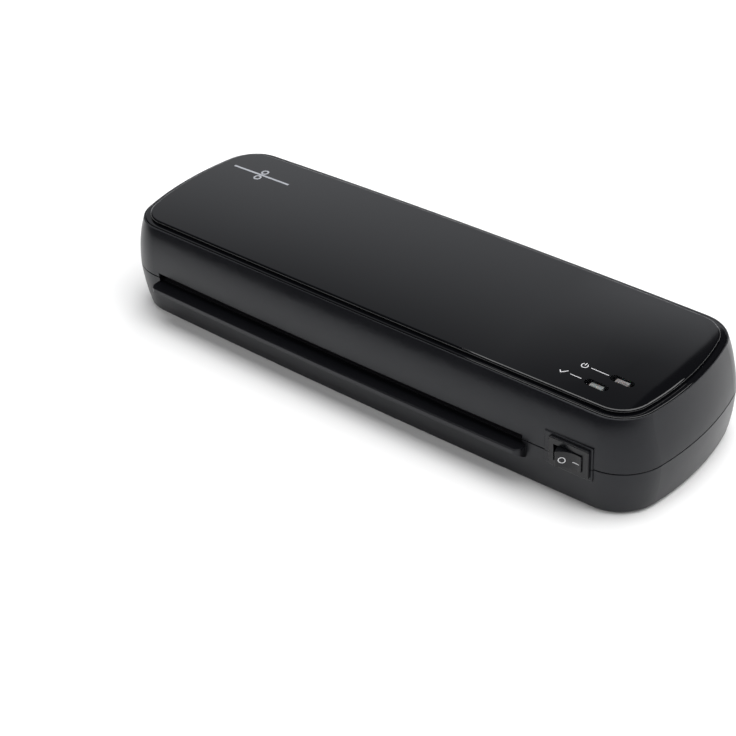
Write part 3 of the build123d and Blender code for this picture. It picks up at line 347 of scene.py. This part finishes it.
def heater_film():
    """Amber polyimide film with the etched heating track showing through."""
    material, tree, shader = new_material("heater_film", (0.42, 0.17, 0.03), 0.22)
    shader.inputs["Coat Weight"].default_value = 0.4
    wave = tree.nodes.new("ShaderNodeTexWave")
    wave.wave_type = "BANDS"
    wave.bands_direction = "Y"
    wave.inputs["Scale"].default_value = 160.0
    wave.inputs["Distortion"].default_value = 1.5
    coords = tree.nodes.new("ShaderNodeTexCoord")
    tree.links.new(coords.outputs["Object"], wave.inputs["Vector"])
    vary_color(tree, shader, wave.outputs["Fac"], (0.20, 0.08, 0.02), (0.48, 0.21, 0.04))
    relief(tree, shader, wave.outputs["Fac"], 0.00003)
    return material


def guide_plastic():
    """Matte heat-resistant moulding of the pouch guides, polished along the feed by pouches."""
    material, tree, shader = new_material("guide_plastic", (0.014, 0.014, 0.016), 0.5)
    vary_roughness(tree, shader, noise(tree, 500.0, 3.0, (1, 0.06, 1)), 0.34, 0.58)
    relief(tree, shader, noise(tree, 1800.0, 2.0), 0.00001, 0.5)
    return material


def dark_moulding():
    """Phenolic grey-black moulding of the terminal block and the thermostat."""
    material, tree, shader = new_material("dark_moulding", (0.03, 0.03, 0.033), 0.55)
    vary_color(tree, shader, noise(tree, 400.0, 4.0), (0.02, 0.02, 0.022), (0.045, 0.044, 0.043))
    relief(tree, shader, noise(tree, 1100.0, 2.0), 0.00002)
    return material


def terminal_brass():
    """Stamped tinned-brass spade terminals."""
    material, tree, shader = new_material("terminal_brass", (0.78, 0.58, 0.26), 0.3, 1.0)
    vary_color(tree, shader, noise(tree, 260.0, 3.0), (0.66, 0.46, 0.19), (0.83, 0.65, 0.33))
    vary_roughness(tree, shader, noise(tree, 900.0, 3.0, (1, 0.1, 1)), 0.22, 0.42)
    return material


def zinc_steel():
    """Bright zinc-plated sheet steel and screws."""
    material, tree, shader = new_material("zinc_steel", (0.62, 0.64, 0.67), 0.34, 1.0)
    vary_color(tree, shader, noise(tree, 90.0, 4.0), (0.54, 0.56, 0.60), (0.68, 0.69, 0.71))
    vary_roughness(tree, shader, noise(tree, 240.0, 5.0), 0.26, 0.46)
    return material


def ground_steel():
    """Ground steel of the roller shafts, marked around by the grinding."""
    material, tree, shader = new_material("ground_steel", (0.66, 0.66, 0.67), 0.22, 1.0)
    rings = noise(tree, 2400.0, 2.0, (1, 0.03, 0.03))
    vary_roughness(tree, shader, rings, 0.16, 0.32)
    relief(tree, shader, rings, 0.000004)
    return material


def motor_can():
    """Drawn steel motor case, lightly stained by its heat."""
    material, tree, shader = new_material("motor_can", (0.50, 0.50, 0.50), 0.3, 1.0)
    vary_color(tree, shader, noise(tree, 60.0, 4.0), (0.42, 0.41, 0.39), (0.56, 0.56, 0.57))
    vary_roughness(tree, shader, noise(tree, 1200.0, 3.0, (0.05, 1, 1)), 0.24, 0.4)
    return material


def spring_steel():
    """Oil-hardened dark spring wire."""
    material, tree, shader = new_material("spring_steel", (0.28, 0.28, 0.30), 0.3, 1.0)
    vary_color(tree, shader, noise(tree, 500.0, 3.0), (0.22, 0.21, 0.21), (0.34, 0.34, 0.36))
    vary_roughness(tree, shader, noise(tree, 1500.0, 2.0), 0.22, 0.4)
    return material


def wire_insulation(name, color, deep):
    """Soft extruded wire insulation."""
    material, tree, shader = new_material(name, color, 0.38)
    vary_color(tree, shader, noise(tree, 130.0, 2.0), deep, color)
    vary_roughness(tree, shader, noise(tree, 600.0, 2.0), 0.3, 0.48)
    return material


def print_ink(name, color, deep, roughness):
    """Pad-printed ink, a little uneven in cover."""
    material, tree, shader = new_material(name, color, roughness)
    cover = noise(tree, 1500.0, 3.0)
    vary_color(tree, shader, cover, deep, color)
    vary_roughness(tree, shader, cover, roughness - 0.08, roughness + 0.08)
    return material


def dress(material, *names):
    """Give the named CAD nodes that material."""
    for name in names:
        nodes[name].data.materials.clear()
        nodes[name].data.materials.append(material)


def dress_nodes():
    """Materials of all the CAD nodes."""
    dress(satin_plastic(), "upper_case", "lower_case")
    dress(piano_plastic(), "top_cover")
    dress(switch_plastic(), "switch_housing")
    dress(rocker_plastic(), "switch_rocker")
    dress(smoked_lens(), "power_window", "ready_window")
    dress(led_epoxy("power_led_epoxy", (0.29, 0.275, 0.275), (0.15, 0.14, 0.14)), "power_led")
    dress(led_epoxy("ready_led_epoxy", (0.28, 0.295, 0.285), (0.14, 0.15, 0.145)), "ready_led")
    dress(circuit_board(), "led_board")
    dress(silicone(), "lower_roller_sleeve", "upper_roller_sleeve")
    dress(white_nylon(), "lower_roller_gear", "upper_roller_gear", "motor_gear", "lower_bushes",
          "upper_bushes", "spring_seats")
    dress(black_rubber(), "feet", "cord_gland")
    dress(aluminium_sheet(), "lower_heat_shoe", "upper_heat_shoe", "heat_shield")
    dress(heater_film(), "lower_heater", "upper_heater")
    dress(guide_plastic(), "entry_guide_lower", "entry_guide_upper", "exit_guide_lower", "exit_guide_upper")
    dress(dark_moulding(), "terminal_block", "thermostat")
    dress(terminal_brass(), "switch_terminals")
    dress(zinc_steel(), "left_side_frame", "right_side_frame", "motor_bracket", "motor_standoffs",
          "case_screws", "frame_screws", "led_board_screws", "motor_screws", "thermal_fuse")
    dress(ground_steel(), "lower_roller_shaft", "upper_roller_shaft", "motor_shaft")
    dress(motor_can(), "gear_motor")
    dress(spring_steel(), "pressure_springs", "lower_roller_clips", "upper_roller_clips")
    dress(wire_insulation("brown_insulation", (0.13, 0.05, 0.02), (0.09, 0.03, 0.015)), "switch_leads")
    dress(wire_insulation("blue_insulation", (0.02, 0.08, 0.30), (0.015, 0.05, 0.22)), "motor_leads")
    dress(wire_insulation("red_insulation", (0.36, 0.02, 0.015), (0.27, 0.015, 0.012)), "led_leads")
    dress(wire_insulation("white_insulation", (0.72, 0.71, 0.68), (0.62, 0.61, 0.57)), "heater_leads")


# ---------------------------------------------------------------- printed marks
def arc_band(center, radius, width, start=0.0, end=360.0, steps=44):
    """Quads along an arc of that mid radius and line width, angles in degrees."""
    quads = []
    for step in range(steps):
        turns = [radians(start + (end - start) * (step + ahead) / steps) for ahead in (0, 1)]
        inner, outer = radius - width / 2, radius + width / 2
        corners = ((inner, turns[0]), (outer, turns[0]), (outer, turns[1]), (inner, turns[1]))
        quads.append([(center[0] + r * cos(t), center[1] + r * sin(t)) for r, t in corners])
    return quads


def bar(start, end, width, pieces=1):
    """Quads of a straight line of that width."""
    run = Vector(end) - Vector(start)
    side = Vector((-run.y, run.x)).normalized() * width / 2
    quads = []
    for piece in range(pieces):
        low = Vector(start) + run * piece / pieces
        high = Vector(start) + run * (piece + 1) / pieces
        quads.append([tuple(low - side), tuple(high - side), tuple(high + side), tuple(low + side)])
    return quads


INK_LIFT = (0.004, 0.03)            # the ink's underside and top over the surface, in mm


def printed_mark(name, quads, place, ink, body):
    """Flat quads in millimetres, laid on a surface by place(u, v, lift) and given the ink's thickness."""
    mesh = bpy.data.meshes.new(name)
    build = bmesh.new()
    for quad in quads:
        low = [build.verts.new(place(u, v, INK_LIFT[0])) for u, v in quad]
        high = [build.verts.new(place(u, v, INK_LIFT[1])) for u, v in quad]
        build.faces.new(high)
        build.faces.new(low[::-1])
        for here, there in zip(range(4), (1, 2, 3, 0)):
            build.faces.new((low[here], low[there], high[there], high[here]))
    bmesh.ops.recalc_face_normals(build, faces=build.faces[:])
    build.to_mesh(mesh)
    build.free()
    mesh.materials.append(ink)
    piece = bpy.data.objects.new(name, mesh)
    bpy.context.scene.collection.objects.link(piece)
    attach(piece, body)


CROWN = 1.36                        # the cover falls this far at the case's ends, in mm
ROCKER_REST = radians(15.4)         # the rocker stands at this tilt at rest
ROCKER_BOW = 12.81                  # radius of its dished face, in mm
ROCKER_MIDDLE = 4.7                 # the face's distance from the hinge at its middle, in mm


def on_cover(u, v, lift):
    """A point on the cover's crowned top at x = u, y = v, that many mm above it."""
    half_length = cad_box[1][0] / MM
    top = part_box("top_cover")[1][2] / MM
    return Vector((u, v, top - CROWN * (u / half_length) ** 2 + lift)) * MM


def on_rocker(u, v, lift):
    """A point on the rocker's bowed face: u along it from its hinge, v up from its middle."""
    hinge = Vector(next(joint["pos_m"] for joint in frame["joints"] if joint["name"] == "rocker_tilt"))
    out = ROCKER_MIDDLE + ROCKER_BOW - sqrt(ROCKER_BOW ** 2 - u ** 2) + lift
    local = Vector((u, -out, v)) * MM
    return hinge + Matrix.Rotation(ROCKER_REST, 3, "Z") @ local


def make_marks():
    """Plain pictograms where the machine carries its printing, drawn in mm."""
    silver = print_ink("silver_ink", (0.36, 0.37, 0.40), (0.30, 0.31, 0.34), 0.4)
    white = print_ink("white_ink", (0.62, 0.62, 0.63), (0.54, 0.54, 0.56), 0.5)
    power = (arc_band((115.2, -22.0), 1.55, 0.42, 125, 415) + bar((115.2, -21.9), (115.2, -19.9), 0.42)
             + bar((118.6, -22.0), (128.0, -22.0), 0.36, 8))
    printed_mark("power_mark", power, on_cover, white, "chassis")
    ready = (bar((108.0, -31.0), (109.3, -32.4), 0.45) + bar((109.15, -32.4), (111.6, -29.6), 0.45)
             + bar((113.4, -31.0), (119.4, -31.0), 0.36, 6))
    printed_mark("ready_mark", ready, on_cover, white, "chassis")
    emblem = (bar((-146.0, 24.0), (-106.0, 24.0), 1.3, 20) + arc_band((-126.0, 27.1), 1.75, 1.0)
              + arc_band((-126.0, 20.9), 1.75, 1.0))
    printed_mark("roller_emblem", emblem, on_cover, silver, "chassis")
    printed_mark("off_mark", arc_band((-3.1, -0.5), 1.5, 0.42), on_rocker, white, "rocker")
    printed_mark("on_mark", bar((1.8, -0.45), (5.1, -0.45), 0.45, 8), on_rocker, white, "rocker")


# ---------------------------------------------------------------- springs
SPRING_TURNS = 3
SPRING_WIRE = 0.35 * MM             # radius of the wire
SPRING_COIL = 2.0 * MM              # radius of the coil


def coil_wire(build, x, low_z, high_z):
    """One helix of round wire about the upright line at x."""
    steps, around = SPRING_TURNS * 28, 10
    last = None
    for step in range(steps + 1):
        turn = 2 * pi * SPRING_TURNS * step / steps
        outward = Vector((cos(turn), sin(turn), 0))
        middle = Vector((x, 0, low_z + (high_z - low_z) * step / steps)) + outward * SPRING_COIL
        spokes = [2 * pi * k / around for k in range(around)]
        ring = [build.verts.new(middle + outward * SPRING_WIRE * cos(spoke)
                                + Vector((0, 0, SPRING_WIRE * sin(spoke)))) for spoke in spokes]
        if last:
            for k in range(around):
                build.faces.new((last[k], last[(k + 1) % around], ring[(k + 1) % around], ring[k]))
        else:
            build.faces.new(ring[::-1])
        last = ring
    build.faces.new(last)


def make_springs():
    """The pressure springs, held by the side frames."""
    low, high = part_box("pressure_springs")
    reach = SPRING_COIL + SPRING_WIRE
    mesh = bpy.data.meshes.new("coil_springs")
    build = bmesh.new()
    for x in (low[0] + reach, high[0] - reach):
        coil_wire(build, x, low[2] + SPRING_WIRE, high[2] - SPRING_WIRE)
    bmesh.ops.recalc_face_normals(build, faces=build.faces[:])
    build.to_mesh(mesh)
    build.free()
    mesh.shade_smooth()
    mesh.materials.append(spring_steel())
    springs = bpy.data.objects.new("coil_springs", mesh)
    bpy.context.scene.collection.objects.link(springs)
    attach(springs, "chassis")
    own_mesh(springs)
    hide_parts("pressure_springs")


make_camera()
make_stage()
make_world()
make_lights()
dress_nodes()
make_marks()
make_springs()

bpy.context.scene.view_settings.view_transform = "Standard"
